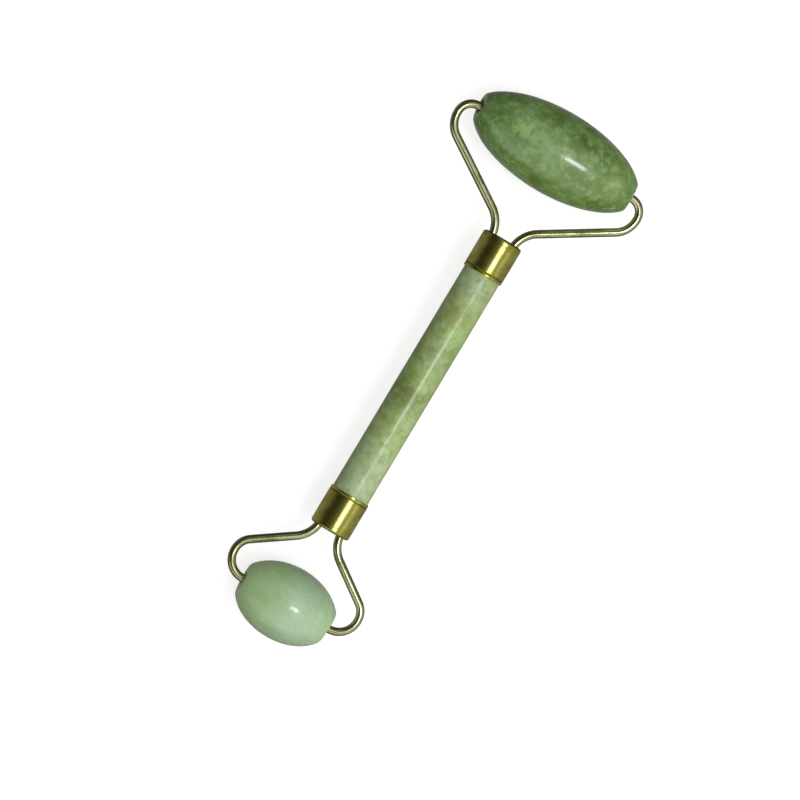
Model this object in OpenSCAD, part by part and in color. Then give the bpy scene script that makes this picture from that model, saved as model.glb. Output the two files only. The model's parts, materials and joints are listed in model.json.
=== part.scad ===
// Double-ended face roller: a stone handle with a barrel-shaped stone roller in a sprung wire fork
// at each end. It lies as it rests on a table, with both rollers touching z = 0.
// +Y points to the large roller, the roller axles lie along X, and +Z is up.
// The origin is on the table, below the middle of the overall length.

/* [Handle] */
// Diameter of the stone handle
handle_d = 9.6; // [8:0.1:12]
// Length of the handle between the two ferrules
handle_grip_l = 61.2; // [45:0.1:66]
// Length of the handle that sits inside each ferrule
handle_seat_l = 4.2; // [3:0.1:4.3]

/* [Ferrules] */
// Length of each ferrule
ferrule_l = 9.9; // [9.6:0.1:12]
// Wall thickness of the drawn cup
ferrule_wall = 0.33; // [0.25:0.01:0.5]
// Thickness of the end plate that the wire passes through
ferrule_plate = 0.5; // [0.4:0.05:0.8]
// Radius of the rounded edge between the wall and the end plate
ferrule_edge_r = 0.7; // [0.5:0.05:0.9]

/* [Forks] */
// Diameter of the fork wire
wire_d = 2.1; // [1.8:0.05:2.3]
// Distance between the two legs where they leave the ferrule
leg_spacing = 5.8; // [5.4:0.1:6]
// Bend radius where the legs turn outwards above the ferrule
exit_bend_r = 7.5; // [6:0.1:7.8]
// Gap between the inside of the fork's end bend and the stone's flat end
end_play = 0.35; // [0.3:0.01:0.6]
// How far each wire end reaches into its roller
axle_reach = 6.8; // [6.4:0.1:8]

/* [Large roller] */
// Diameter of the large stone at its middle
large_roller_d = 20.3; // [18:0.1:24]
// Length of the large stone
large_roller_l = 42.2; // [38:0.1:46]
// Diameter of the flat ends of the large stone
large_roller_end_d = 7.2; // [6.4:0.1:9]
// Distance of the large axle from the middle of the handle
large_axle_y = 64.7; // [64:0.1:72]
// Radius of the large fork's shoulder bends
large_shoulder_r = 6; // [5:0.1:7]
// Radius of the large fork's end bends
large_hook_r = 3.65; // [3.2:0.05:5]

/* [Small roller] */
// Diameter of the small stone at its middle
small_roller_d = 18.4; // [16:0.1:20]
// Length of the small stone
small_roller_l = 23.5; // [21:0.1:28]
// Diameter of the flat ends of the small stone
small_roller_end_d = 8; // [6.4:0.1:9]
// Distance of the small axle from the middle of the handle
small_axle_y = 60.8; // [60:0.1:68]
// Radius of the small fork's shoulder bends
small_shoulder_r = 4.6; // [4:0.1:5]
// Radius of the small fork's end bends
small_hook_r = 5; // [4.6:0.05:5.6]

/* [Bushes] */
// Radial clearance between the wire and its bushes
bush_clearance = 0.05; // [0.02:0.01:0.08]
// Wall thickness of each bush
bush_wall = 0.6; // [0.4:0.05:0.7]
// Length of each bush
bush_l = 5; // [4:0.1:5.2]
// Depth of each bush below the stone's flat end
bush_recess = 1.2; // [0.8:0.1:1.2]

/* [Hidden] */
$fn = 96;

// Glue line between the handle and the ferrule
glue_line = 0.03;
// Radial clearance of the end plate's holes, which the wire passes at a slight slant
hole_clearance = 0.1;
// Chamfer at the handle's ends
handle_edge = 0.3;
// Gap between the cup's closed end and the set adhesive behind it
plug_gap = 0.1;
// Depth below the end plate's outer face at which the legs start to turn outwards
exit_depth = 1.1;
// Straight length between a fork's U-bend and its exit bends
u_bend_run = 0.2;
// Extra length that carries a cut past a face
past = 1;
// Each bend of the wire is drawn this much thinner than the straight runs and reaches this far into
// them, so that its ends lie inside the runs
bend_ease = 0.005;
bend_overlap = 0.04;
// Straight length between a fork's shoulder bend and its end bend
side_run = 0.2;

handle_l = handle_grip_l + 2 * handle_seat_l;
ferrule_rim = handle_grip_l / 2;
ferrule_end = ferrule_rim + ferrule_l;
ferrule_bore_r = handle_d / 2 + glue_line;
ferrule_r = ferrule_bore_r + ferrule_wall;
wire_r = wire_d / 2;
u_bend_r = leg_spacing / 2;
plate_inside = ferrule_end - ferrule_plate;
exit_y = ferrule_end - exit_depth;
u_bend_y = exit_y - u_bend_run;
// The wire's sideways offset from its leg at the middle of the end plate's thickness
plate_offset = exit_bend_r - sqrt(pow(exit_bend_r, 2) - pow(exit_depth - ferrule_plate / 2, 2));
bush_bore_r = wire_r + bush_clearance;
stone_bore_r = bush_bore_r + bush_wall;

// Resting pose: the axles stand at their own rollers' radii above the table
rest_tilt = asin((large_roller_d - small_roller_d) / 2 / (large_axle_y + small_axle_y));
handle_z = large_roller_d / 2 - large_axle_y * sin(rest_tilt);
front_y = large_axle_y * cos(rest_tilt) + large_roller_d / 2;
back_y = -small_axle_y * cos(rest_tilt) - small_roller_d / 2;

// Lays a part that was drawn about the handle's own axis down on the table
module lay_down() {
    translate([0, -(front_y + back_y) / 2, handle_z])
        rotate([rest_tilt, 0, 0])
            children();
}

// Turns a part drawn at the large end round to the small end
module at_small_end() {
    rotate([0, 0, 180])
        children();
}

// A cylinder along +Y from y0, of length l
module rod_y(r, y0, l) {
    translate([0, y0, 0])
        rotate([-90, 0, 0])
            cylinder(r = r, h = l);
}

// A cylinder along +X from x0, of length l
module rod_x(r, x0, l) {
    translate([x0, 0, 0])
        rotate([0, 90, 0])
            cylinder(r = r, h = l);
}

// A bend of round wire about the point c: it starts in the direction a0 and sweeps by the angle sweep
module wire_bend(c, r, a0, sweep) {
    overlap = asin(bend_overlap / r);
    translate([c[0], c[1], 0])
        rotate([0, 0, a0 - overlap])
            rotate_extrude(angle = sweep + 2 * overlap)
                translate([r, 0])
                    circle(r = wire_r - bend_ease);
}

// A straight length of round wire from p to q in the fork's plane
module wire_run(p, q) {
    d = q - p;
    translate([p[0], p[1], 0])
        rotate([0, 90, atan2(d[1], d[0])])
            cylinder(r = wire_r, h = norm(d));
}

// The buried start of a fork's +X leg, up to past the end plate
module fork_root() {
    wire_run([leg_spacing / 2, u_bend_y], [leg_spacing / 2, exit_y]);
    wire_bend([leg_spacing / 2 + exit_bend_r, exit_y], exit_bend_r, 150, 30);
}

// Half of a fork, on the +X side: leg, exit bend, shoulder bend, end bend and axle
module fork_half(axle_y, half_l, shoulder_r, hook_r) {
    axle_x = half_l + end_play;
    side_x = axle_x + hook_r;
    hook = [axle_x, axle_y - hook_r];
    shoulder = [side_x - shoulder_r, hook[1] - side_run];
    exit = [leg_spacing / 2 + exit_bend_r, exit_y];
    // The leg is the inner common tangent of the exit bend and the shoulder bend
    span = shoulder - exit;
    leg_angle = atan2(span[1], span[0]) - asin((exit_bend_r + shoulder_r) / norm(span));
    across = [-sin(leg_angle), cos(leg_angle)];
    wire_run([leg_spacing / 2, u_bend_y], [leg_spacing / 2, exit_y]);
    wire_bend(exit, exit_bend_r, 90 + leg_angle, 90 - leg_angle);
    wire_run(exit + exit_bend_r * across, shoulder - shoulder_r * across);
    wire_bend(shoulder, shoulder_r, leg_angle - 90, 90 - leg_angle);
    wire_run([side_x, shoulder[1]], [side_x, hook[1]]);
    wire_bend(hook, hook_r, 0, 90);
    wire_run([half_l - axle_reach, axle_y], [axle_x, axle_y]);
}

// The whole fork is one length of wire, with its U-bend behind the ferrule's end plate
module fork(axle_y, half_l, shoulder_r, hook_r) {
    fork_half(axle_y, half_l, shoulder_r, hook_r);
    mirror([1, 0, 0])
        fork_half(axle_y, half_l, shoulder_r, hook_r);
    wire_bend([0, u_bend_y], u_bend_r, 180, 180);
}

// The drawn cup: open towards the handle, with a rounded rim, a rounded edge and two wire holes
module ferrule() {
    difference() {
        rotate([-90, 0, 0])
            rotate_extrude() {
                translate([0, plate_inside])
                    square([ferrule_r - ferrule_edge_r, ferrule_plate]);
                translate([ferrule_bore_r, ferrule_rim + ferrule_wall / 2])
                    square([ferrule_wall, ferrule_l - ferrule_wall / 2 - ferrule_edge_r]);
                translate([ferrule_bore_r + ferrule_wall / 2, ferrule_rim + ferrule_wall / 2])
                    circle(r = ferrule_wall / 2);
                translate([ferrule_r - ferrule_edge_r, ferrule_end - ferrule_edge_r])
                    intersection() {
                        circle(r = ferrule_edge_r);
                        square(ferrule_edge_r);
                    }
            }
        for (side = [-1, 1])
            translate([side * (leg_spacing / 2 + plate_offset), 0, 0])
                rod_y(wire_r + hole_clearance, plate_inside - past, ferrule_plate + 2 * past);
    }
}

// Set adhesive between the handle's end and the end plate, round the wire's U-bend
module adhesive_plug() {
    plug_start = ferrule_rim + handle_seat_l;
    plug_end = ferrule_end - max(ferrule_plate, ferrule_edge_r) - plug_gap;
    difference() {
        rod_y(ferrule_bore_r, plug_start, plug_end - plug_start);
        fork_root();
        mirror([1, 0, 0])
            fork_root();
        wire_bend([0, u_bend_y], u_bend_r, 180, 180);
    }
}

// A barrel-shaped stone: part of an ellipse turned about the X axis, with flat ends and a drilled bore
module stone(axle_y, d, l, end_d) {
    stretch = l / d / sqrt(1 - pow(end_d / d, 2));
    translate([0, axle_y, 0])
        rotate([0, 90, 0])
            difference() {
                rotate_extrude()
                    intersection() {
                        scale([1, stretch])
                            circle(r = d / 2);
                        translate([0, -l / 2])
                            square([d / 2, l]);
                    }
                translate([0, 0, -l / 2 - past])
                    cylinder(r = stone_bore_r, h = l + 2 * past);
            }
}

// A plastic sleeve set into one end of a stone's bore: side is -1 for the left end and 1 for the right
module bush(axle_y, l, side) {
    middle = side * (l / 2 - bush_recess - bush_l / 2);
    translate([middle, axle_y, 0])
        difference() {
            rod_x(stone_bore_r, -bush_l / 2, bush_l);
            rod_x(bush_bore_r, -bush_l / 2 - past, bush_l + 2 * past);
        }
}

module handle() {
    color("#9cb070")
        lay_down() {
            rod_y(handle_d / 2, -handle_l / 2 + handle_edge, handle_l - 2 * handle_edge);
            for (turn = [0, 180])
                rotate([0, 0, turn])
                    translate([0, handle_l / 2 - handle_edge, 0])
                        rotate([-90, 0, 0])
                            cylinder(r1 = handle_d / 2, r2 = handle_d / 2 - handle_edge, h = handle_edge);
        }
}

module large_ferrule() {
    color("#b99a3c")
        lay_down()
            ferrule();
}

module small_ferrule() {
    color("#b99a3c")
        lay_down()
            at_small_end()
                ferrule();
}

module large_fork() {
    color("#d8c489")
        lay_down()
            fork(large_axle_y, large_roller_l / 2, large_shoulder_r, large_hook_r);
}

module small_fork() {
    color("#d8c489")
        lay_down()
            at_small_end()
                fork(small_axle_y, small_roller_l / 2, small_shoulder_r, small_hook_r);
}

module large_ferrule_adhesive() {
    color("#cfc39a")
        lay_down()
            adhesive_plug();
}

module small_ferrule_adhesive() {
    color("#cfc39a")
        lay_down()
            at_small_end()
                adhesive_plug();
}

module large_roller() {
    color("#6b8f58")
        lay_down()
            stone(large_axle_y, large_roller_d, large_roller_l, large_roller_end_d);
}

module large_roller_bush_left() {
    color("#3a3a36")
        lay_down()
            bush(large_axle_y, large_roller_l, -1);
}

module large_roller_bush_right() {
    color("#3a3a36")
        lay_down()
            bush(large_axle_y, large_roller_l, 1);
}

module small_roller() {
    color("#9fbf98")
        lay_down()
            stone(-small_axle_y, small_roller_d, small_roller_l, small_roller_end_d);
}

module small_roller_bush_left() {
    color("#3a3a36")
        lay_down()
            bush(-small_axle_y, small_roller_l, -1);
}

module small_roller_bush_right() {
    color("#3a3a36")
        lay_down()
            bush(-small_axle_y, small_roller_l, 1);
}

handle();
large_ferrule();
small_ferrule();
large_fork();
small_fork();
large_ferrule_adhesive();
small_ferrule_adhesive();
large_roller();
large_roller_bush_left();
large_roller_bush_right();
small_roller();
small_roller_bush_left();
small_roller_bush_right();
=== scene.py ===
"""The looks of a jade face roller: a round jade handle, a brass ferrule and a bent wire fork
at each end of it, and a jade barrel that turns on the ends of each fork.

Lengths are in millimetres and each piece is drawn in its own frame, with Y along its axis.
MM turns them into metres, and a placing matrix puts the piece where the CAD model has it."""

import json
from math import asin, atan2, ceil, cos, degrees, exp, hypot, pi, radians, sin, sqrt

import bmesh
import bpy
from mathutils import Matrix, Vector, noise


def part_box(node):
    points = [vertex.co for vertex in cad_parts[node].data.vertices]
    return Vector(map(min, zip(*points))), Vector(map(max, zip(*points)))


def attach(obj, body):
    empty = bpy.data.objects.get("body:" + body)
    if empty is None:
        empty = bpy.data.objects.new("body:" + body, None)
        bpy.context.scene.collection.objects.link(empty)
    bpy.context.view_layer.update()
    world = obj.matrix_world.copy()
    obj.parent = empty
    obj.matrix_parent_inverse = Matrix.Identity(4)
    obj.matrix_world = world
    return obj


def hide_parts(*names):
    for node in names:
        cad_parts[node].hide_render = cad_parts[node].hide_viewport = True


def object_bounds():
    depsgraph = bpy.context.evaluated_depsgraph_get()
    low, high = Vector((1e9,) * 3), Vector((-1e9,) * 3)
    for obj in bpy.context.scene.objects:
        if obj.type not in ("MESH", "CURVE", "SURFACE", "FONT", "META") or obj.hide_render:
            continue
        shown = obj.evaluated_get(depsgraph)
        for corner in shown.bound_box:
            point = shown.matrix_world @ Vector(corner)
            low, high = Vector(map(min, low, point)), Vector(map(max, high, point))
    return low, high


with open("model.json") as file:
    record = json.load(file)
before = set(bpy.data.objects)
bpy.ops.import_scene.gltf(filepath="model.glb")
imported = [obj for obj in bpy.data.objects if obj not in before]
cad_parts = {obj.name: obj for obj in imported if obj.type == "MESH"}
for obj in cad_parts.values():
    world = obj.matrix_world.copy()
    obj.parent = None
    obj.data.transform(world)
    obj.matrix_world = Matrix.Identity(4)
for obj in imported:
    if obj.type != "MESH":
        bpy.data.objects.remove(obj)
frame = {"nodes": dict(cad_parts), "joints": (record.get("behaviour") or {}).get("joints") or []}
cad_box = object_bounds()

MM = 0.001

# ---------------------------------------------------------------- places, from the frame

AXLES = {joint["child"]: Vector(joint["pos_m"]) for joint in frame["joints"]}


def lay_down():
    """The handle's frame: origin at the middle of the handle, Y towards the large roller."""
    low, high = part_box("handle")
    along = (AXLES["large_roller"] - AXLES["small_roller"]).normalized()
    across = Vector((1, 0, 0))
    turn = Matrix((across, along, across.cross(along))).transposed()
    return Matrix.Translation((low + high) / 2) @ turn.to_4x4()


HANDLE_PLACE = lay_down()
END_PLACES = {"large": HANDLE_PLACE, "small": HANDLE_PLACE @ Matrix.Rotation(pi, 4, "Z")}


def local_box(node, place):
    """A CAD node's lowest and highest corners in the frame of place, in millimetres."""
    back = place.inverted()
    points = [back @ vertex.co / MM for vertex in frame["nodes"][node].data.vertices]
    low = Vector([min(point[i] for point in points) for i in range(3)])
    high = Vector([max(point[i] for point in points) for i in range(3)])
    return low, high


def axle_place(end):
    """The frame of a roller: origin at its middle, Y along its axle."""
    return Matrix.Translation(AXLES[end + "_roller"]) @ Matrix.Rotation(-pi / 2, 4, "Z")


# ---------------------------------------------------------------- drawing

def arc(centre, radius, start, stop, steps):
    """Points on an arc, from one angle to another in degrees."""
    points = []
    for i in range(steps + 1):
        angle = radians(start + (stop - start) * i / steps)
        points.append((centre[0] + radius * cos(angle), centre[1] + radius * sin(angle)))
    return points


def refined(outline, spacing, closed=False):
    """The outline with points added, so that none of its steps is longer than spacing."""
    ends = outline[1:] + outline[:1] if closed else outline[1:]
    points = []
    for start, stop in zip(outline, ends):
        steps = max(1, ceil(hypot(stop[0] - start[0], stop[1] - start[1]) / spacing))
        for i in range(steps):
            points.append(tuple(a + (b - a) * i / steps for a, b in zip(start, stop)))
    return points if closed else points + outline[-1:]


def bridge(bm, one, other):
    """Makes faces between two rings that have the same number of vertices."""
    for i in range(len(one)):
        j = (i + 1) % len(one)
        bm.faces.new((one[i], one[j], other[j], other[i]))


def ring_of(bm, points):
    """New vertices at the points."""
    return [bm.verts.new(point) for point in points]


def lathe(bm, outline, sides, closed=False, shape=lambda point: point):
    """Turns an outline of (radius, height) points round Y. shape moves each finished point."""
    rings = []
    for radius, height in outline:
        points = []
        for i in range(sides):
            angle = 2 * pi * i / sides
            points.append(shape(Vector((radius * sin(angle), height, radius * cos(angle)))))
        rings.append(ring_of(bm, points))
    for one, other in zip(rings, rings[1:]):
        bridge(bm, one, other)
    if closed:
        bridge(bm, rings[-1], rings[0])
    return rings


def loop_edges(bm, ring):
    """The closed loop of edges through a ring's vertices, made where it isn't there yet."""
    pairs = [(ring[i], ring[i - 1]) for i in range(len(ring))]
    return [bm.edges.get(pair) or bm.edges.new(pair) for pair in pairs]


SAME_POINT = 1e-4


def finish_piece(bm, name, place, body, slot, look, *nodes, sharp=38):
    """Makes the drawn mesh an object on its CAD body, which stands for the CAD nodes. Edges
    that turn by more than sharp degrees are left sharp."""
    bmesh.ops.remove_doubles(bm, verts=bm.verts, dist=SAME_POINT)
    bmesh.ops.recalc_face_normals(bm, faces=bm.faces)
    bmesh.ops.scale(bm, vec=(MM, MM, MM), verts=bm.verts)
    mesh = bpy.data.meshes.new(name)
    bm.to_mesh(mesh)
    bm.free()
    mesh.shade_smooth()
    mesh.set_sharp_from_angle(angle=radians(sharp))
    mesh.materials.append(look)
    piece = bpy.data.objects.new(name, mesh)
    bpy.context.scene.collection.objects.link(piece)
    piece.matrix_world = place
    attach(piece, body)
    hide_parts(*nodes)
    return piece


# ---------------------------------------------------------------- material nodes

def rgb(red, green, blue):
    """A colour given as it shows on a screen, from 0 to 255, as a linear colour."""
    linear = []
    for value in (red, green, blue):
        share = value / 255
        linear.append(share / 12.92 if share <= 0.04045 else ((share + 0.055) / 1.055) ** 2.4)
    return (*linear, 1.0)


class Nodes:
    """A node tree under construction."""

    def __init__(self, tree):
        self.tree = tree
        tree.nodes.clear()

    def link(self, value, socket):
        """Joins an output to a socket, or sets the socket's own value."""
        if isinstance(value, bpy.types.NodeSocket):
            self.tree.links.new(value, socket)
        else:
            socket.default_value = value

    def add(self, kind, inputs=None, **settings):
        """A new node with its settings, and its inputs joined or set."""
        node = self.tree.nodes.new(kind)
        for key, value in settings.items():
            setattr(node, key, value)
        for key, value in (inputs or {}).items():
            self.link(value, node.inputs[key])
        return node

    def math(self, operation, a, b=0.0):
        return self.add("ShaderNodeMath", {0: a, 1: b}, operation=operation).outputs[0]

    def spread(self, value, low, high, to_low=0.0, to_high=1.0):
        """value, where low…high becomes to_low…to_high, smoothly and no further."""
        node = self.add("ShaderNodeMapRange", {
            "Value": value, "From Min": low, "From Max": high, "To Min": to_low, "To Max": to_high},
            interpolation_type="SMOOTHSTEP")
        return node.outputs["Result"]

    def share(self, value, low, high):
        """value, where low…high becomes 0…1 evenly."""
        node = self.add("ShaderNodeMapRange", {"Value": value, "From Min": low, "From Max": high})
        return node.outputs["Result"]

    def mix(self, factor, a, b):
        """Colour a, where a share factor of it is replaced by colour b."""
        first, second, result = 6, 7, 2  # the node's sockets for colours
        node = self.add("ShaderNodeMix", data_type="RGBA")
        self.link(factor, node.inputs["Factor"])
        self.link(a, node.inputs[first])
        self.link(b, node.inputs[second])
        return node.outputs[result]

    def ramp(self, value, stops):
        """Colours by position, from a list of (position, colour)."""
        node = self.add("ShaderNodeValToRGB", {"Fac": value})
        elements = node.color_ramp.elements
        for _ in stops[2:]:
            elements.new(0.5)
        for element, (position, colour) in zip(elements, stops):
            element.position = position
            element.color = colour
        return node.outputs["Color"]

    def split(self, vector):
        """The X, Y and Z of a vector."""
        return self.add("ShaderNodeSeparateXYZ", {"Vector": vector}).outputs


class Look(Nodes):
    """A material under construction, with the piece's own coordinates in millimetres."""

    def __init__(self, name, offset=(0, 0, 0)):
        self.material = bpy.data.materials.new(name)
        self.material.use_nodes = True
        super().__init__(self.material.node_tree)
        self.shader = self.add("ShaderNodeBsdfPrincipled")
        self.add("ShaderNodeOutputMaterial", {"Surface": self.shader.outputs[0]})
        self.offset = offset
        place = self.add("ShaderNodeTexCoord").outputs["Object"]
        self.place = self.moved(place, scale=(1 / MM,) * 3)

    def moved(self, vector, scale=(1, 1, 1), offset=(0, 0, 0)):
        """vector stretched by scale and then shifted by offset."""
        node = self.add("ShaderNodeMapping", {"Vector": vector, "Scale": scale, "Location": offset})
        return node.outputs[0]

    def noise(self, vector, size, detail=3.0, roughness=0.55):
        """Noise from 0 to 1 whose blotches are about size millimetres across. The look's offset
        makes it differ from the same noise in another look."""
        return self.add("ShaderNodeTexNoise", {
            "Vector": self.moved(vector, offset=self.offset), "Scale": 1 / size,
            "Detail": detail, "Roughness": roughness})

    def patch(self, vector, colour, centre, radius, tint, strength):
        """colour with a soft-edged patch of tint about a point."""
        away = self.add("ShaderNodeVectorMath", {0: vector, 1: centre}, operation="DISTANCE")
        return self.mix(self.spread(away.outputs["Value"], radius, 0.2 * radius, 0, strength),
                        colour, tint)

    def warped(self, vector, size, amount):
        """vector pushed about by noise, so that what follows it has no straight edges."""
        push = self.add("ShaderNodeVectorMath", {
            0: self.noise(vector, size, 2).outputs["Color"], 1: (-0.5, -0.5, -0.5)}, operation="ADD")
        sized = self.add("ShaderNodeVectorMath", {0: push.outputs[0], "Scale": amount},
                         operation="SCALE")
        return self.add("ShaderNodeVectorMath", {0: vector, 1: sized.outputs[0]},
                        operation="ADD").outputs[0]

    def bump(self, height, depth, after=None):
        """Roughens the surface by depth millimetres where height goes from 0 to 1."""
        inputs = {"Height": height, "Strength": 1.0, "Distance": depth * MM}
        if after is not None:
            inputs["Normal"] = after
        return self.add("ShaderNodeBump", inputs).outputs["Normal"]

    def set(self, **inputs):
        """Joins or sets the shader's inputs, named with _ for each space."""
        for key, value in inputs.items():
            self.link(value, self.shader.inputs[key.replace("_", " ")])


# ---------------------------------------------------------------- jade

def jade(name, lengthways, patches, pale, deep, olive, offset, cloud_size, haze, depth,
         polish, gloss, clear=(0.25, 1.0)):
    """Polished jade: clouds, veins and fibres in the stone, and hairlines in its polish.
    lengthways are (Y, colour) stops along the piece, and patches are (centre, radius, colour,
    strength). haze and depth are how strong the pale and the dark clouds are. polish is the
    roughness where the stone is smoothest and where it is dullest. gloss is a clear wax coat:
    its weight, and how far along Y it is still whole and where only a quarter is left. clear is
    how far light gets into the stone: its share, and its depth in millimetres."""
    look = Look(name, offset)
    stirred = look.warped(look.place, cloud_size * 0.8, cloud_size * 0.8)
    y = look.split(look.warped(stirred, cloud_size * 1.7, cloud_size))["Y"]
    start, stop = lengthways[0][0], lengthways[-1][0]
    stops = [((at - start) / (stop - start), tint) for at, tint in lengthways]
    colour = look.ramp(look.share(y, start, stop), stops)
    for centre, radius, tint, strength in patches:
        colour = look.patch(stirred, colour, centre, radius, tint, strength)
    clouds = look.noise(stirred, cloud_size, 3, 0.5).outputs["Fac"]
    colour = look.mix(look.spread(clouds, 0.40, 0.68, 0, haze), colour, pale)
    shade = look.noise(look.moved(stirred, offset=(31, 7, 13)), cloud_size, 3, 0.5).outputs["Fac"]
    colour = look.mix(look.spread(shade, 0.40, 0.68, 0, depth), colour, deep)
    stain = look.noise(look.moved(stirred, offset=(5, 41, 23)), cloud_size * 0.7, 4).outputs["Fac"]
    colour = look.mix(look.spread(stain, 0.48, 0.74, 0, 0.8 * depth), colour, olive)
    # Short interlocked fibres and grains, and a few hair-thin pale veins.
    fibre = look.noise(look.moved(stirred, scale=(1.0, 0.45, 1.0)), 0.9, 6, 0.65).outputs["Fac"]
    colour = look.mix(look.spread(fibre, 0.46, 0.30, 0, 0.7 * depth), colour, deep)
    colour = look.mix(look.spread(fibre, 0.54, 0.72, 0, 0.9 * haze), colour, pale)
    wisps = look.noise(look.warped(look.place, 2.2, 3.0), 1.9, 4, 0.6).outputs["Fac"]
    colour = look.mix(look.spread(wisps, 0.50, 0.66, 0, 0.9 * haze), colour, pale)
    colour = look.mix(look.spread(wisps, 0.50, 0.36, 0, 0.9 * depth), colour, olive)
    ridge = look.noise(look.warped(look.place, 3.0, 2.5), 7.0, 2).outputs["Fac"]
    near = look.math("ABSOLUTE", look.math("SUBTRACT", ridge, 0.47))
    vein = look.math("MULTIPLY", look.spread(near, 0.008, 0.0), look.spread(clouds, 0.4, 0.6))
    colour = look.mix(look.math("MULTIPLY", vein, 0.30), colour, pale)
    # The polish: faint smears, hairline scratches and a slight orange peel.
    smear = look.noise(look.moved(look.place, scale=(1, 0.4, 1)), 2.6, 4).outputs["Fac"]
    hair = look.noise(look.moved(look.place, scale=(9, 0.5, 9)), 1.4, 2, 0.4).outputs["Fac"]
    hairline = look.spread(hair, 0.70, 0.78)
    rough = look.spread(smear, 0.35, 0.70, *polish)
    rough = look.math("ADD", rough, look.math("MULTIPLY", hairline, 0.08))
    peel = look.noise(look.place, 0.7, 2).outputs["Fac"]
    normal = look.bump(peel, 0.005)
    normal = look.bump(look.math("MULTIPLY", hairline, -1.0), 0.002, normal)
    weight, full, gone = gloss
    from_middle = look.math("ABSOLUTE", look.split(look.warped(look.place, 5.0, 4.0))["Y"])
    coat = look.spread(from_middle, full, gone, weight, 0.25 * weight)
    look.set(Base_Color=colour, Roughness=rough, Normal=normal, IOR=1.61,
             Coat_Weight=coat, Coat_Roughness=0.09, Coat_IOR=1.5, Subsurface_Weight=clear[0],
             Subsurface_Scale=clear[1] * MM, Subsurface_Radius=(1.0, 1.3, 0.8))
    return look.material


def handle_jade():
    """Yellow-green, mottled in the middle, with a pale grey-green patch at each end."""
    lengthways = [
        (-31, rgb(158, 178, 144)),
        (-24, rgb(152, 172, 132)),
        (-17, rgb(150, 172, 114)),
        (-7, rgb(142, 164, 98)),
        (-3, rgb(118, 134, 62)),
        (3, rgb(128, 154, 80)),
        (13, rgb(136, 160, 90)),
        (21, rgb(146, 166, 100)),
        (28, rgb(152, 170, 122)),
    ]
    patches = [
        ((-2.6, -3.0, 3.8), 4.2, rgb(100, 112, 40), 0.9),
        ((2.6, 1.5, 3.8), 4.0, rgb(158, 180, 128), 0.6),
        ((2.2, 14.0, 4.0), 6.0, rgb(150, 182, 104), 0.7),
        ((-1.5, 18.0, 4.4), 5.0, rgb(134, 148, 82), 0.7),
        ((-2.0, 27.0, 4.2), 4.0, rgb(160, 178, 156), 0.7),
        ((-1.8, -14.0, 4.2), 4.5, rgb(136, 160, 92), 0.6),
        ((2.0, -25.0, 4.2), 6.0, rgb(172, 188, 158), 0.7),
        ((-2.5, 8.0, 4.0), 5.0, rgb(116, 134, 64), 0.6),
    ]
    return jade("handle_jade", lengthways, patches, pale=rgb(170, 190, 142),
                deep=rgb(106, 130, 70), olive=rgb(126, 132, 62), offset=(0, 0, 0), cloud_size=6.5,
                haze=0.45, depth=0.5, polish=(0.30, 0.44), gloss=(0.32, 8, 24))


def large_roller_jade():
    """Mid green, clouded paler on one side, olive in places, with a faint painted highlight glow on
    top.
    """
    lengthways = [
        (-21, rgb(82, 114, 62)),
        (-14, rgb(94, 130, 72)),
        (-9, rgb(116, 150, 94)),
        (-2, rgb(104, 138, 78)),
        (4, rgb(98, 130, 66)),
        (12, rgb(98, 126, 62)),
        (19, rgb(100, 128, 66)),
    ]
    patches = [
        ((-3.3, -11.0, 9.0), 6.0, rgb(140, 172, 122), 0.7),
        ((1.5, -4.0, 9.9), 5.5, rgb(140, 172, 118), 0.6),
        # Painted highlight: a faint pale glow on top of the stone, beside where the key light's
        # highlight falls.
        ((0.4, 0.4, 10.1), 3.0, rgb(186, 212, 176), 0.45),
        ((-0.5, -18.0, 5.0), 5.0, rgb(86, 124, 70), 0.6),
        ((-6.8, -6.0, 7.4), 6.0, rgb(70, 92, 38), 0.75),
        ((-7.0, 6.0, 7.4), 8.5, rgb(66, 86, 32), 0.95),
        ((1.0, 14.5, 7.0), 6.0, rgb(106, 130, 66), 0.75),
        ((5.5, 15.0, 4.0), 6.0, rgb(80, 102, 40), 0.85),
        ((7.2, -6.0, 6.8), 7.0, rgb(84, 112, 48), 0.8),
        ((4.0, 3.0, -9.0), 8.0, rgb(136, 166, 112), 0.7),
        ((-5.0, -9.0, -8.0), 7.0, rgb(86, 114, 50), 0.7),
    ]
    return jade("large_roller_jade", lengthways, patches, pale=rgb(142, 176, 106),
                deep=rgb(76, 108, 46), olive=rgb(92, 112, 40), offset=(60, 20, 10), cloud_size=5.5,
                haze=0.50, depth=0.6, polish=(0.24, 0.36), gloss=(0.85, 30, 40))


def small_roller_jade():
    """A more even, paler and clearer celadon."""
    lengthways = [
        (-11, rgb(164, 192, 136)),
        (-4, rgb(154, 184, 138)),
        (3, rgb(154, 182, 154)),
        (11, rgb(158, 184, 148)),
    ]
    patches = [
        ((1.0, 3.5, 8.8), 6.0, rgb(170, 190, 170), 0.7),
        ((-4.0, -6.0, 6.5), 5.0, rgb(156, 186, 124), 0.6),
    ]
    return jade("small_roller_jade", lengthways, patches, pale=rgb(174, 198, 166),
                deep=rgb(146, 174, 128), olive=rgb(154, 176, 112), offset=(20, 90, 50),
                cloud_size=7.0, haze=0.45, depth=0.35, polish=(0.26, 0.38), gloss=(0.7, 30, 40),
                clear=(0.55, 2.2))


# ---------------------------------------------------------------- metals, plastic, adhesive

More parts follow.
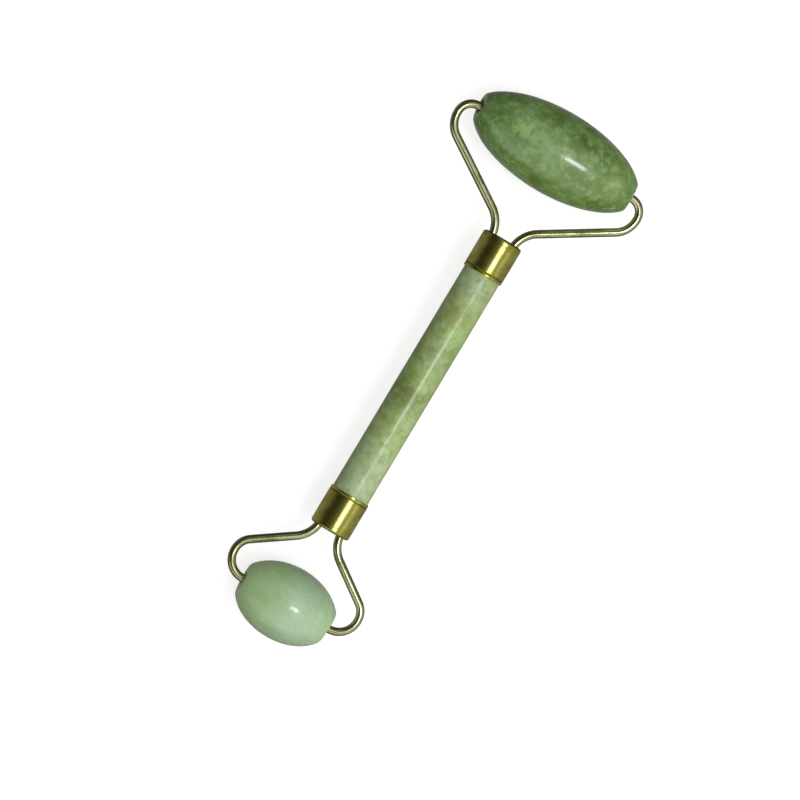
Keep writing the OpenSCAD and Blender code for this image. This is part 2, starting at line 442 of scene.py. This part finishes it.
def brass(name, offset, rim, end):
    """Polished brass, turned on a lathe: fine rings and scratches, and painted shade darkening the
    groove behind the rim and the shoulder, which is also rougher there. rim and end are where the
    ferrule starts and stops on Y."""
    look = Look(name, offset)
    y = look.split(look.place)["Y"]
    tarnish = look.noise(look.warped(look.place, 2.0, 1.2), 3.2, 5, 0.6).outputs["Fac"]
    colour = look.ramp(tarnish, [
        (0.30, rgb(232, 227, 124)),
        (0.46, rgb(220, 214, 110)),
        (0.57, rgb(196, 188, 90)),
        (0.72, rgb(152, 140, 72)),
    ])
    # Painted shade: the groove behind the rim and the rounded shoulder at the plate end are darkened
    # in blotches. This stands in for the shade in the groove and the dark reflection on the
    # shoulder.
    groove = look.math("MULTIPLY", look.spread(y, rim + 0.55, rim + 0.75),
                       look.spread(y, rim + 1.25, rim + 0.85))
    shoulder = look.math("MULTIPLY", look.spread(y, end - 0.55, end - 0.25),
                         look.spread(y, end - 0.02, end - 0.20, 0.25, 1))
    shade_blotches = look.noise(look.place, 0.5, 4).outputs["Fac"]
    painted_shade = look.math("MULTIPLY", look.math("MAXIMUM", groove, shoulder),
                      look.spread(shade_blotches, 0.25, 0.60, 0.45, 0.95))
    # The dark colour of the painted shade and painted dark reflection in the groove and on the
    # shoulder.
    colour = look.mix(look.math("MULTIPLY", painted_shade, 0.85), colour, rgb(80, 76, 38))
    rings = look.noise(look.moved(look.place, scale=(0.25, 11.0, 0.25)), 1.0, 3).outputs["Fac"]
    scratch = look.noise(look.moved(look.place, scale=(0.4, 5.0, 6.0)), 1.6, 2, 0.4)
    scratches = look.spread(scratch.outputs["Fac"], 0.69, 0.76)
    rough = look.spread(tarnish, 0.35, 0.75, 0.17, 0.30)
    rough = look.math("ADD", rough, look.math("MULTIPLY", painted_shade, 0.25))
    rough = look.math("ADD", rough, look.math("MULTIPLY", scratches, 0.12))
    normal = look.bump(rings, 0.006)
    normal = look.bump(look.math("MULTIPLY", scratches, -1.0), 0.006, normal)
    look.set(Base_Color=colour, Metallic=1.0, Roughness=rough, Normal=normal)
    return look.material


def gilt_wire():
    """Drawn wire with a pale gold wash: lines along its run, duller where it was handled."""
    look = Look("gilt_wire")
    run = look.add("ShaderNodeAttribute", attribute_name="straightened").outputs["Vector"]
    dull = look.noise(look.moved(run, scale=(0.5, 0.16, 0.5)), 1.0, 4, 0.6).outputs["Fac"]
    colour = look.ramp(dull, [
        (0.32, rgb(228, 229, 190)),
        (0.50, rgb(210, 209, 164)),
        (0.64, rgb(174, 172, 122)),
        (0.78, rgb(128, 126, 82)),
    ])
    lines = look.noise(look.moved(run, scale=(9.0, 0.22, 9.0)), 1.0, 3).outputs["Fac"]
    colour = look.mix(look.spread(lines, 0.60, 0.78, 0, 0.35), colour, rgb(138, 132, 80))
    rough = look.spread(dull, 0.35, 0.75, 0.15, 0.28)
    pits = look.noise(look.moved(run, scale=(2.2, 1.6, 2.2)), 1.0, 3).outputs["Fac"]
    normal = look.bump(lines, 0.006)
    normal = look.bump(pits, 0.006, normal)
    look.set(Base_Color=colour, Metallic=1.0, Roughness=rough, Normal=normal)
    return look.material


def bush_plastic():
    """Near-black nylon, slightly matt, polished grey where the wire turns in it."""
    look = Look("bush_plastic")
    cloud = look.noise(look.place, 1.3, 4).outputs["Fac"]
    colour = look.ramp(cloud, [(0.35, rgb(92, 92, 88)), (0.65, rgb(78, 78, 75))])
    parts = look.split(look.place)
    off_axis = look.math("SQRT", look.math("ADD", look.math("POWER", parts["X"], 2.0),
                                           look.math("POWER", parts["Z"], 2.0)))
    worn = look.spread(off_axis, 1.35, 1.10, 0, 0.6)
    colour = look.mix(worn, colour, rgb(128, 126, 118))
    grain = look.noise(look.place, 0.12, 3).outputs["Fac"]
    look.set(Base_Color=colour, Roughness=look.spread(cloud, 0.3, 0.7, 0.42, 0.58),
             Normal=look.bump(grain, 0.01), IOR=1.53)
    return look.material


def set_adhesive():
    """Hard amber epoxy with small trapped bubbles."""
    look = Look("set_adhesive")
    cloud = look.noise(look.place, 2.0, 4).outputs["Fac"]
    colour = look.ramp(cloud, [(0.35, rgb(196, 180, 128)), (0.70, rgb(168, 146, 92))])
    bubbles = look.add("ShaderNodeTexVoronoi", {"Vector": look.place, "Scale": 1.8})
    pits = look.spread(bubbles.outputs["Distance"], 0.28, 0.16)
    look.set(Base_Color=look.mix(look.math("MULTIPLY", pits, 0.4), colour, rgb(222, 212, 176)),
             Roughness=look.spread(cloud, 0.3, 0.7, 0.25, 0.45),
             Normal=look.bump(look.math("MULTIPLY", pits, -1.0), 0.05), IOR=1.55)
    return look.material


def floor_card():
    """A plain, pale, matt card with a faint mottle."""
    look = Look("floor_card")
    mottle = look.noise(look.place, 60.0, 3).outputs["Fac"]
    colour = look.ramp(mottle, [(0.3, rgb(190, 190, 189)), (0.7, rgb(186, 186, 186))])
    look.set(Base_Color=colour, Roughness=0.9, Emission_Color=(1, 1, 1, 1), Emission_Strength=0.66)
    return look.material


# ---------------------------------------------------------------- handle

HANDLE_EDGE = 0.3
HANDLE_DIPS = 0.04
HANDLE_DIP_PITCH = 0.13
HANDLE_STEP = 0.6
HANDLE_SIDES = 96


def swell(point, pitch):
    """A slow unevenness from 0 to 1 over a surface, with pitch waves to the millimetre."""
    return noise.noise(point * pitch) * 0.5 + 0.5


def pushed_in(point, depth):
    """point, moved towards the Y axis by depth."""
    flat = Vector((point.x, 0, point.z))
    return flat * (1 - depth / flat.length) + Vector((0, point.y, 0))


def make_handle(look):
    """A ground and polished rod, very slightly uneven, with its end edges taken off."""
    _, high = local_box("handle", HANDLE_PLACE)
    radius, half, edge = high.x, high.y, HANDLE_EDGE

    def hand_polished(point):
        share = HANDLE_DIPS * swell(point, HANDLE_DIP_PITCH) / radius
        return Vector((point.x * (1 - share), point.y, point.z * (1 - share)))

    outline = [(0, -half)] + arc((radius - edge, edge - half), edge, -90, 0, 4)
    outline += arc((radius - edge, half - edge), edge, 0, 90, 4) + [(0, half)]
    bm = bmesh.new()
    lathe(bm, refined(outline, HANDLE_STEP), HANDLE_SIDES, shape=hand_polished)
    finish_piece(bm, "handle_rod", HANDLE_PLACE, "handle", "handle_jade", look, "handle")


# ---------------------------------------------------------------- ferrules

FERRULE_WALL = 0.33
FERRULE_PLATE = 0.5
FERRULE_EDGE = 0.7
FERRULE_STEPS = 110
FERRULE_SIDES = 144
GROOVE_FROM_RIM = 0.72
GROOVE_WIDTH = 0.16
GROOVE_DEPTH = 0.09
CREASE_FROM_END = 1.5
CREASE_WIDTH = 0.12
CREASE_DEPTH = 0.025
UNWORN_LIP = 0.1
HAND_WEAR = 0.02
HAND_WEAR_PITCH = 0.35
# The wire has begun to bend outwards where it passes through the plate, by HOLE_SPREAD.
WIRE_LEG_OFFSET = 2.9
HOLE_SPREAD = 0.048
HOLE_RADIUS = 1.15
HOLE_EDGE = 0.07
HOLE_SIDES = 40


def make_ferrule(end, look, dings):
    """A turned cup over the handle's end: a rolled rim with a groove behind it, and a plate
    with the two holes that the fork goes through. dings are (angle, height, depth, size)."""
    node = end + "_ferrule"
    low, high = local_box(node, END_PLACES[end])
    radius, rim, top = high.x, low.y, high.y
    bore, floor_y = radius - FERRULE_WALL, top - FERRULE_PLATE
    lip = FERRULE_WALL / 2

    def worn(point):
        if hypot(point.x, point.z) < bore + UNWORN_LIP:
            return point
        angle = degrees(atan2(point.x, point.z))
        push = 0.0
        for ding_angle, ding_y, depth, size in dings:
            arc_away = radians((angle - ding_angle + 180) % 360 - 180) * radius
            push += depth * exp(-(arc_away ** 2 + (point.y - ding_y) ** 2) / size ** 2)
        push += HAND_WEAR * swell(point, HAND_WEAR_PITCH)
        return pushed_in(point, push)

    def groove(y, middle, width, depth):
        """How deep a rounded groove round the wall is at height y."""
        return depth * exp(-((y - middle) / width) ** 2)

    wall = []
    start, stop = rim + lip, top - FERRULE_EDGE
    for i in range(1, FERRULE_STEPS):
        y = start + (stop - start) * i / FERRULE_STEPS
        cut = groove(y, rim + GROOVE_FROM_RIM, GROOVE_WIDTH, GROOVE_DEPTH)
        cut += groove(y, top - CREASE_FROM_END, CREASE_WIDTH, CREASE_DEPTH)
        wall.append((radius - cut, y))
    outline = [(bore, floor_y), (bore, rim + lip)]
    outline += arc((radius - lip, rim + lip), lip, -180, 0, 10)[1:]
    outline += wall + arc((radius - FERRULE_EDGE, top - FERRULE_EDGE), FERRULE_EDGE, 0, 90, 10)
    bm = bmesh.new()
    rings = lathe(bm, outline, FERRULE_SIDES, shape=worn)

    holes = []
    for side in (-1, 1):
        centre_x = side * (WIRE_LEG_OFFSET + HOLE_SPREAD)
        stack = []
        for hole_radius, y in ((HOLE_RADIUS + HOLE_EDGE, top), (HOLE_RADIUS, top - HOLE_EDGE),
                               (HOLE_RADIUS, floor_y)):
            circle = arc((centre_x, 0), hole_radius, 0, 360, HOLE_SIDES)[:-1]
            stack.append(ring_of(bm, [(x, y, z) for x, z in circle]))
        for one, other in zip(stack, stack[1:]):
            bridge(bm, one, other)
        holes.append(stack)
    for edge_ring, level in ((rings[-1], 0), (rings[0], -1)):
        edges = loop_edges(bm, edge_ring)
        for stack in holes:
            edges += loop_edges(bm, stack[level])
        bmesh.ops.triangle_fill(bm, use_beauty=True, use_dissolve=False, edges=edges)
    finish_piece(bm, node + "_cup", END_PLACES[end], "handle", "ferrule_brass", look, node, sharp=50)


# ---------------------------------------------------------------- forks

# Each bend is (x, y, radius) of its arc of the wire's middle line, in the handle's frame.
U_BEND_Y = 39.2
EXIT_BEND = (10.4, 39.4, 7.5)
SHOULDER_BEND = {"large": (19.1, 60.85, 6.0), "small": (12.5, 55.6, 4.6)}
HOOK_BEND = {"large": (21.45, 61.05, 3.65), "small": (12.1, 55.8, 5.0)}
AXLE_TIP = {"large": 14.3, "small": 4.95}
WIRE_SIDES = 28
WIRE_STEP = 0.5
TIP_EDGE = 0.25
MOST_FLATTENING = 0.03
FLATTENING = 0.35


def fork_path(end):
    """The middle line of one half of a fork, from the U bend in the ferrule to the axle tip."""
    exit_x, exit_y, exit_r = EXIT_BEND
    shoulder_x, shoulder_y, shoulder_r = SHOULDER_BEND[end]
    hook_x, hook_y, hook_r = HOOK_BEND[end]
    span_x, span_y = shoulder_x - exit_x, shoulder_y - exit_y
    leg = degrees(atan2(span_y, span_x) - asin((exit_r + shoulder_r) / hypot(span_x, span_y)))
    path = arc((0, U_BEND_Y), WIRE_LEG_OFFSET, -90, 0, 20)
    path += arc((exit_x, exit_y), exit_r, 180, 90 + leg, 26)
    path += arc((shoulder_x, shoulder_y), shoulder_r, leg - 90, 0, 30)
    path += arc((hook_x, hook_y), hook_r, 0, 90, 36)
    path.append((AXLE_TIP[end], hook_y + hook_r))
    return refined(path, WIRE_STEP)


def make_fork(end, look):
    """One length of wire, bent round inside the ferrule and out to both ends of the axle."""
    node = end + "_fork"
    _, high = local_box(node, END_PLACES[end])
    wire = high.z
    half = fork_path(end)
    path = [Vector((-x, y, 0)) for x, y in reversed(half)]
    path += [Vector((x, y, 0)) for x, y in half[1:]]
    bm = bmesh.new()
    # Where each vertex was on the wire while it was straight, which its material follows.
    store = bm.verts.layers.float_vector.new("straightened")
    run, rings, last = 0.0, [], len(path) - 1
    for i, point in enumerate(path):
        before, after = path[max(i - 1, 0)], path[min(i + 1, last)]
        ahead = (after - before).normalized()
        side = Vector((ahead.y, -ahead.x, 0))
        reach, flattening = wire - TIP_EDGE, 0.0
        if 0 < i < last:
            # Bending leaves the wire a little flat across the bend.
            turn = (after - point).normalized().angle((point - before).normalized(), 0)
            reach, flattening = wire, min(MOST_FLATTENING, FLATTENING * turn)
        if i:
            run += (point - path[i - 1]).length
        ring = []
        for k in range(WIRE_SIDES):
            angle = 2 * pi * k / WIRE_SIDES
            offset = side * (reach - flattening) * cos(angle) + Vector((0, 0, reach)) * sin(angle)
            vertex = bm.verts.new(point + offset)
            vertex[store] = (wire * cos(angle), run, wire * sin(angle))
            ring.append(vertex)
        rings.append(ring)
    for one, other in zip(rings, rings[1:]):
        bridge(bm, one, other)
    bm.faces.new(rings[0])
    bm.faces.new(rings[-1])
    finish_piece(bm, node + "_wire", END_PLACES[end], "handle", "fork_wire", look, node)


# ---------------------------------------------------------------- rollers

ROLLER_END_RADIUS = {"large": 3.6, "small": 4.0}
ROLLER_BORE = 1.7
ROLLER_EDGE = 0.3
BORE_CHAMFER = 0.35
BORE_MARGIN = 0.01
ROLLER_STEPS = 90
ROLLER_STEP = 0.7
ROLLER_SIDES = 144
ROLLER_DIP_PITCH = 0.11
# A slanted cut moves only the last part of a stone, from this share of its half length on.
SLANT_FROM = 0.72


def make_roller(end, look, slants, dips):
    """A jade barrel: an elliptical outline cut off flat, softened edges and a drilled bore.
    slants are the (angle round the axle, slope) of each end's cut, which is out of square, and
    dips is how deep the polishing has gone where it went deepest."""
    node = end + "_roller"
    low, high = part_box(node)
    radius, half = (high.z - low.z) / 2 / MM, (high.x - low.x) / 2 / MM
    end_radius = ROLLER_END_RADIUS[end]
    semi = half / sqrt(1 - (end_radius / radius) ** 2)

    def outer(y):
        return radius * sqrt(1 - (y / semi) ** 2)

    side = []
    reach = half - ROLLER_EDGE * 0.75
    for i in range(ROLLER_STEPS + 1):
        # Steps are closer together towards the ends, where the outline curves more.
        y = reach * sin(pi / 2 * (2 * i / ROLLER_STEPS - 1))
        side.append((outer(y), y))
    # The softened edge is a curve from the side, by way of the corner, to the flat end.
    start, corner, stop = (outer(reach), reach), (end_radius, half), (end_radius - ROLLER_EDGE, half)
    soft, soft_steps = [], 6
    for i in range(1, soft_steps + 1):
        t = i / soft_steps
        soft.append(tuple((1 - t) ** 2 * a + 2 * t * (1 - t) * b + t * t * c
                          for a, b, c in zip(start, corner, stop)))
    mouth = [(ROLLER_BORE + BORE_CHAMFER, half), (ROLLER_BORE, half - BORE_CHAMFER)]
    right = soft + mouth
    left = [(r, -y) for r, y in reversed(right)]
    outline = left + side + right

    def cut_and_polished(point):
        if hypot(point.x, point.z) < ROLLER_BORE + BORE_MARGIN:
            return point
        dip = dips * (noise.noise(point * ROLLER_DIP_PITCH + Vector((3, 5, 7))) * 0.5 + 0.5)
        near_end = max(0.0, (abs(point.y) / half - SLANT_FROM) / (1 - SLANT_FROM)) ** 2
        angle, slope = slants[0 if point.y < 0 else 1]
        lean = slope * (point.x * sin(radians(angle)) + point.z * cos(radians(angle)))
        return pushed_in(point, dip) + Vector((0, lean * near_end, 0))

    bm = bmesh.new()
    outline = refined(outline, ROLLER_STEP, closed=True)
    lathe(bm, outline, ROLLER_SIDES, closed=True, shape=cut_and_polished)
    slot = node + "_jade"
    finish_piece(bm, node + "_barrel", axle_place(end), node, slot, look, node, sharp=30)


# ---------------------------------------------------------------- bushes

BUSH_BORE = 1.1
BUSH_EDGE = 0.12


def make_bush(node, end, look):
    """A turned sleeve in the mouth of the bore, with both edges eased inside and out."""
    low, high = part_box(node)
    centre = (low + high) / 2
    place = Matrix.Translation(centre) @ Matrix.Rotation(-pi / 2, 4, "Z")
    outer, half = (high.z - low.z) / 2 / MM, (high.x - low.x) / 2 / MM
    inner, ease = BUSH_BORE, BUSH_EDGE
    outline = []
    for x, y, start in ((outer - ease, half - ease, 0), (inner + ease, half - ease, 90),
                        (inner + ease, ease - half, 180), (outer - ease, ease - half, 270)):
        outline += arc((x, y), ease, start, start + 90, 4)
    bm = bmesh.new()
    lathe(bm, refined(outline, 0.5, closed=True), 64, closed=True)
    finish_piece(bm, node + "_sleeve", place, end + "_roller", "bush_plastic", look, node)


# ---------------------------------------------------------------- the stage

# Metres and degrees. FRAME_WIDTH is how much of the table the picture takes in.
CAMERA_DISTANCE = 1.2
FRAME_WIDTH = 0.1909
CAMERA_ROLL = 30.88
CAMERA_YAW = -6.5
SENSOR_WIDTH = 36
LAMP_DISTANCE = 2.4
# The middle of the picture, in millimetres from the middle of the handle.
AIM = Vector((-1.48, -5.06, 0))


def make_camera():
    """Looks down on the roller from a little to its -X side, turned so that it lies aslant."""
    data = bpy.data.cameras.new("camera")
    data.sensor_width = SENSOR_WIDTH
    data.lens = SENSOR_WIDTH * CAMERA_DISTANCE / FRAME_WIDTH
    data.clip_end = 20
    camera = bpy.data.objects.new("camera", data)
    bpy.context.scene.collection.objects.link(camera)
    target = HANDLE_PLACE.translation + AIM * MM
    yaw = Matrix.Rotation(radians(CAMERA_YAW), 4, "Y")
    turn = yaw @ Matrix.Rotation(radians(CAMERA_ROLL), 4, "Z")
    camera.matrix_world = Matrix.Translation(
        target + turn.to_3x3() @ Vector((0, 0, CAMERA_DISTANCE))) @ turn
    bpy.context.scene.camera = camera


def make_lamp(name, kind, lean, strength, colour=(1, 1, 1), gloss=False, **settings):
    """A light lean degrees from straight up, towards +X. With gloss it shows in reflections."""
    data = bpy.data.lights.new(name, kind)
    data.energy = strength
    data.color = colour
    for key, value in settings.items():
        setattr(data, key, value)
    lamp = bpy.data.objects.new(name, data)
    bpy.context.scene.collection.objects.link(lamp)
    turn = Matrix.Rotation(radians(lean), 4, "Y")
    lamp.matrix_world = turn @ Matrix.Translation((0, 0, LAMP_DISTANCE))
    lamp.visible_glossy = gloss
    lamp.visible_camera = False
    return lamp


def make_lights():
    """A broad soft light overhead, a stronger one from +X, and a strip for the highlights."""
    make_lamp("overhead", "SUN", 0, 1.25, angle=radians(150))
    make_lamp("side_fill", "SUN", 52, 1.38, colour=(1.0, 1.0, 0.96), angle=radians(90))
    make_lamp("key_strip", "AREA", 17, 7.2, gloss=True, shape="RECTANGLE", size=0.58, size_y=0.40)


def make_world():
    """A dim room for the polished parts to reflect. Across it there is darkness above and to
    -X, a bright strip just to +X of straight up and a second one lower. Lengthways it is
    light high up, more so towards -Y, and dark low down. From below comes a pale floor's
    light."""
    world = bpy.data.worlds.new("room")
    world.use_nodes = True
    bpy.context.scene.world = world
    room = Nodes(world.node_tree)
    way = room.split(room.add("ShaderNodeTexCoord").outputs["Generated"])
    lean = room.share(room.math("ARCTAN2", way["X"], way["Z"]), -pi, pi)
    # (degrees from straight up, towards +X; brightness)
    levels = [(-180, 0.24), (-140, 0.22), (-119, 0.20), (-90, 0.16), (-66, 0.04), (-45, 0.03),
              (-22, 0.07), (-3, 0.15), (8, 0.40), (26, 0.75), (36, 0.32), (43, 0.30), (53, 0.60),
              (66, 0.52), (80, 0.28), (117, 0.30), (140, 0.26), (180, 0.24)]
    level = room.ramp(lean, [((angle + 180) / 360, (value, value, 0.94 * value, 1))
                             for angle, value in levels])
    under = room.spread(way["Z"], -0.25, -0.60)
    backwards = room.math("MULTIPLY", way["Y"], -1.0)
    # (share of the direction along Y; the light's brightness; heights where it is gone and full)
    for turned, brightness, gone, full in ((way["Y"], 0.42, 0.40, 0.75),
                                           (backwards, 0.85, 0.08, 0.30)):
        light = (brightness, brightness, 0.94 * brightness, 1)
        wall = room.mix(room.spread(way["Z"], gone, full), (0.02, 0.02, 0.018, 1), light)
        wall = room.mix(under, wall, (0.12, 0.12, 0.11, 1))
        level = room.mix(room.spread(turned, 0.40, 0.75, 0, 0.9), level, wall)
    # The camera sees a plain pale wall past the edge of the floor.
    seen = room.add("ShaderNodeLightPath").outputs["Is Camera Ray"]
    colour = room.mix(seen, level, (0.93, 0.93, 0.93, 1))
    background = room.add("ShaderNodeBackground", {"Color": colour})
    room.add("ShaderNodeOutputWorld", {"Surface": background.outputs[0]})


def make_floor():
    """A card that the part lies on. It catches shadows but isn't seen in reflections."""
    mesh = bpy.data.meshes.new("floor")
    bm = bmesh.new()
    bmesh.ops.create_grid(bm, x_segments=2, y_segments=2, size=6)
    bm.to_mesh(mesh)
    bm.free()
    mesh.materials.append(floor_card())
    floor = bpy.data.objects.new("floor", mesh)
    bpy.context.scene.collection.objects.link(floor)
    floor.location.z = cad_box[0].z
    floor.visible_glossy = False
    floor.visible_diffuse = False


# ---------------------------------------------------------------- the whole

make_camera()
make_world()
make_lights()
make_floor()

make_handle(handle_jade())
LARGE_DINGS = [(40, 33.6, 0.03, 1.0), (-70, 36.5, 0.04, 0.9), (150, 35.0, 0.04, 1.2)]
SMALL_DINGS = [(-152, 33.4, 0.05, 0.9), (-168, 38.4, 0.06, 0.8), (60, 35.5, 0.04, 1.1)]
ferrule_low, ferrule_high = local_box("large_ferrule", HANDLE_PLACE)
for which, shift, marks in (("large", (0, 0, 0), LARGE_DINGS), ("small", (17, 5, 9), SMALL_DINGS)):
    metal = brass(which + "_ferrule_brass", shift, ferrule_low.y, ferrule_high.y)
    make_ferrule(which, metal, marks)

wire_look = gilt_wire()
for which in ("large", "small"):
    make_fork(which, wire_look)

make_roller("large", large_roller_jade(), slants=((35, 0.12), (120, 0.03)), dips=0.07)
make_roller("small", small_roller_jade(), slants=((70, 0.03), (-110, 0.03)), dips=0.06)

bush_look = bush_plastic()
adhesive_look = set_adhesive()
for name, cad_node in frame["nodes"].items():
    if "bush" in name:
        make_bush(name, name.split("_")[0], bush_look)
    if "adhesive" in name:
        cad_node.data.materials.clear()
        cad_node.data.materials.append(adhesive_look)

bpy.context.scene.view_settings.view_transform = "Standard"
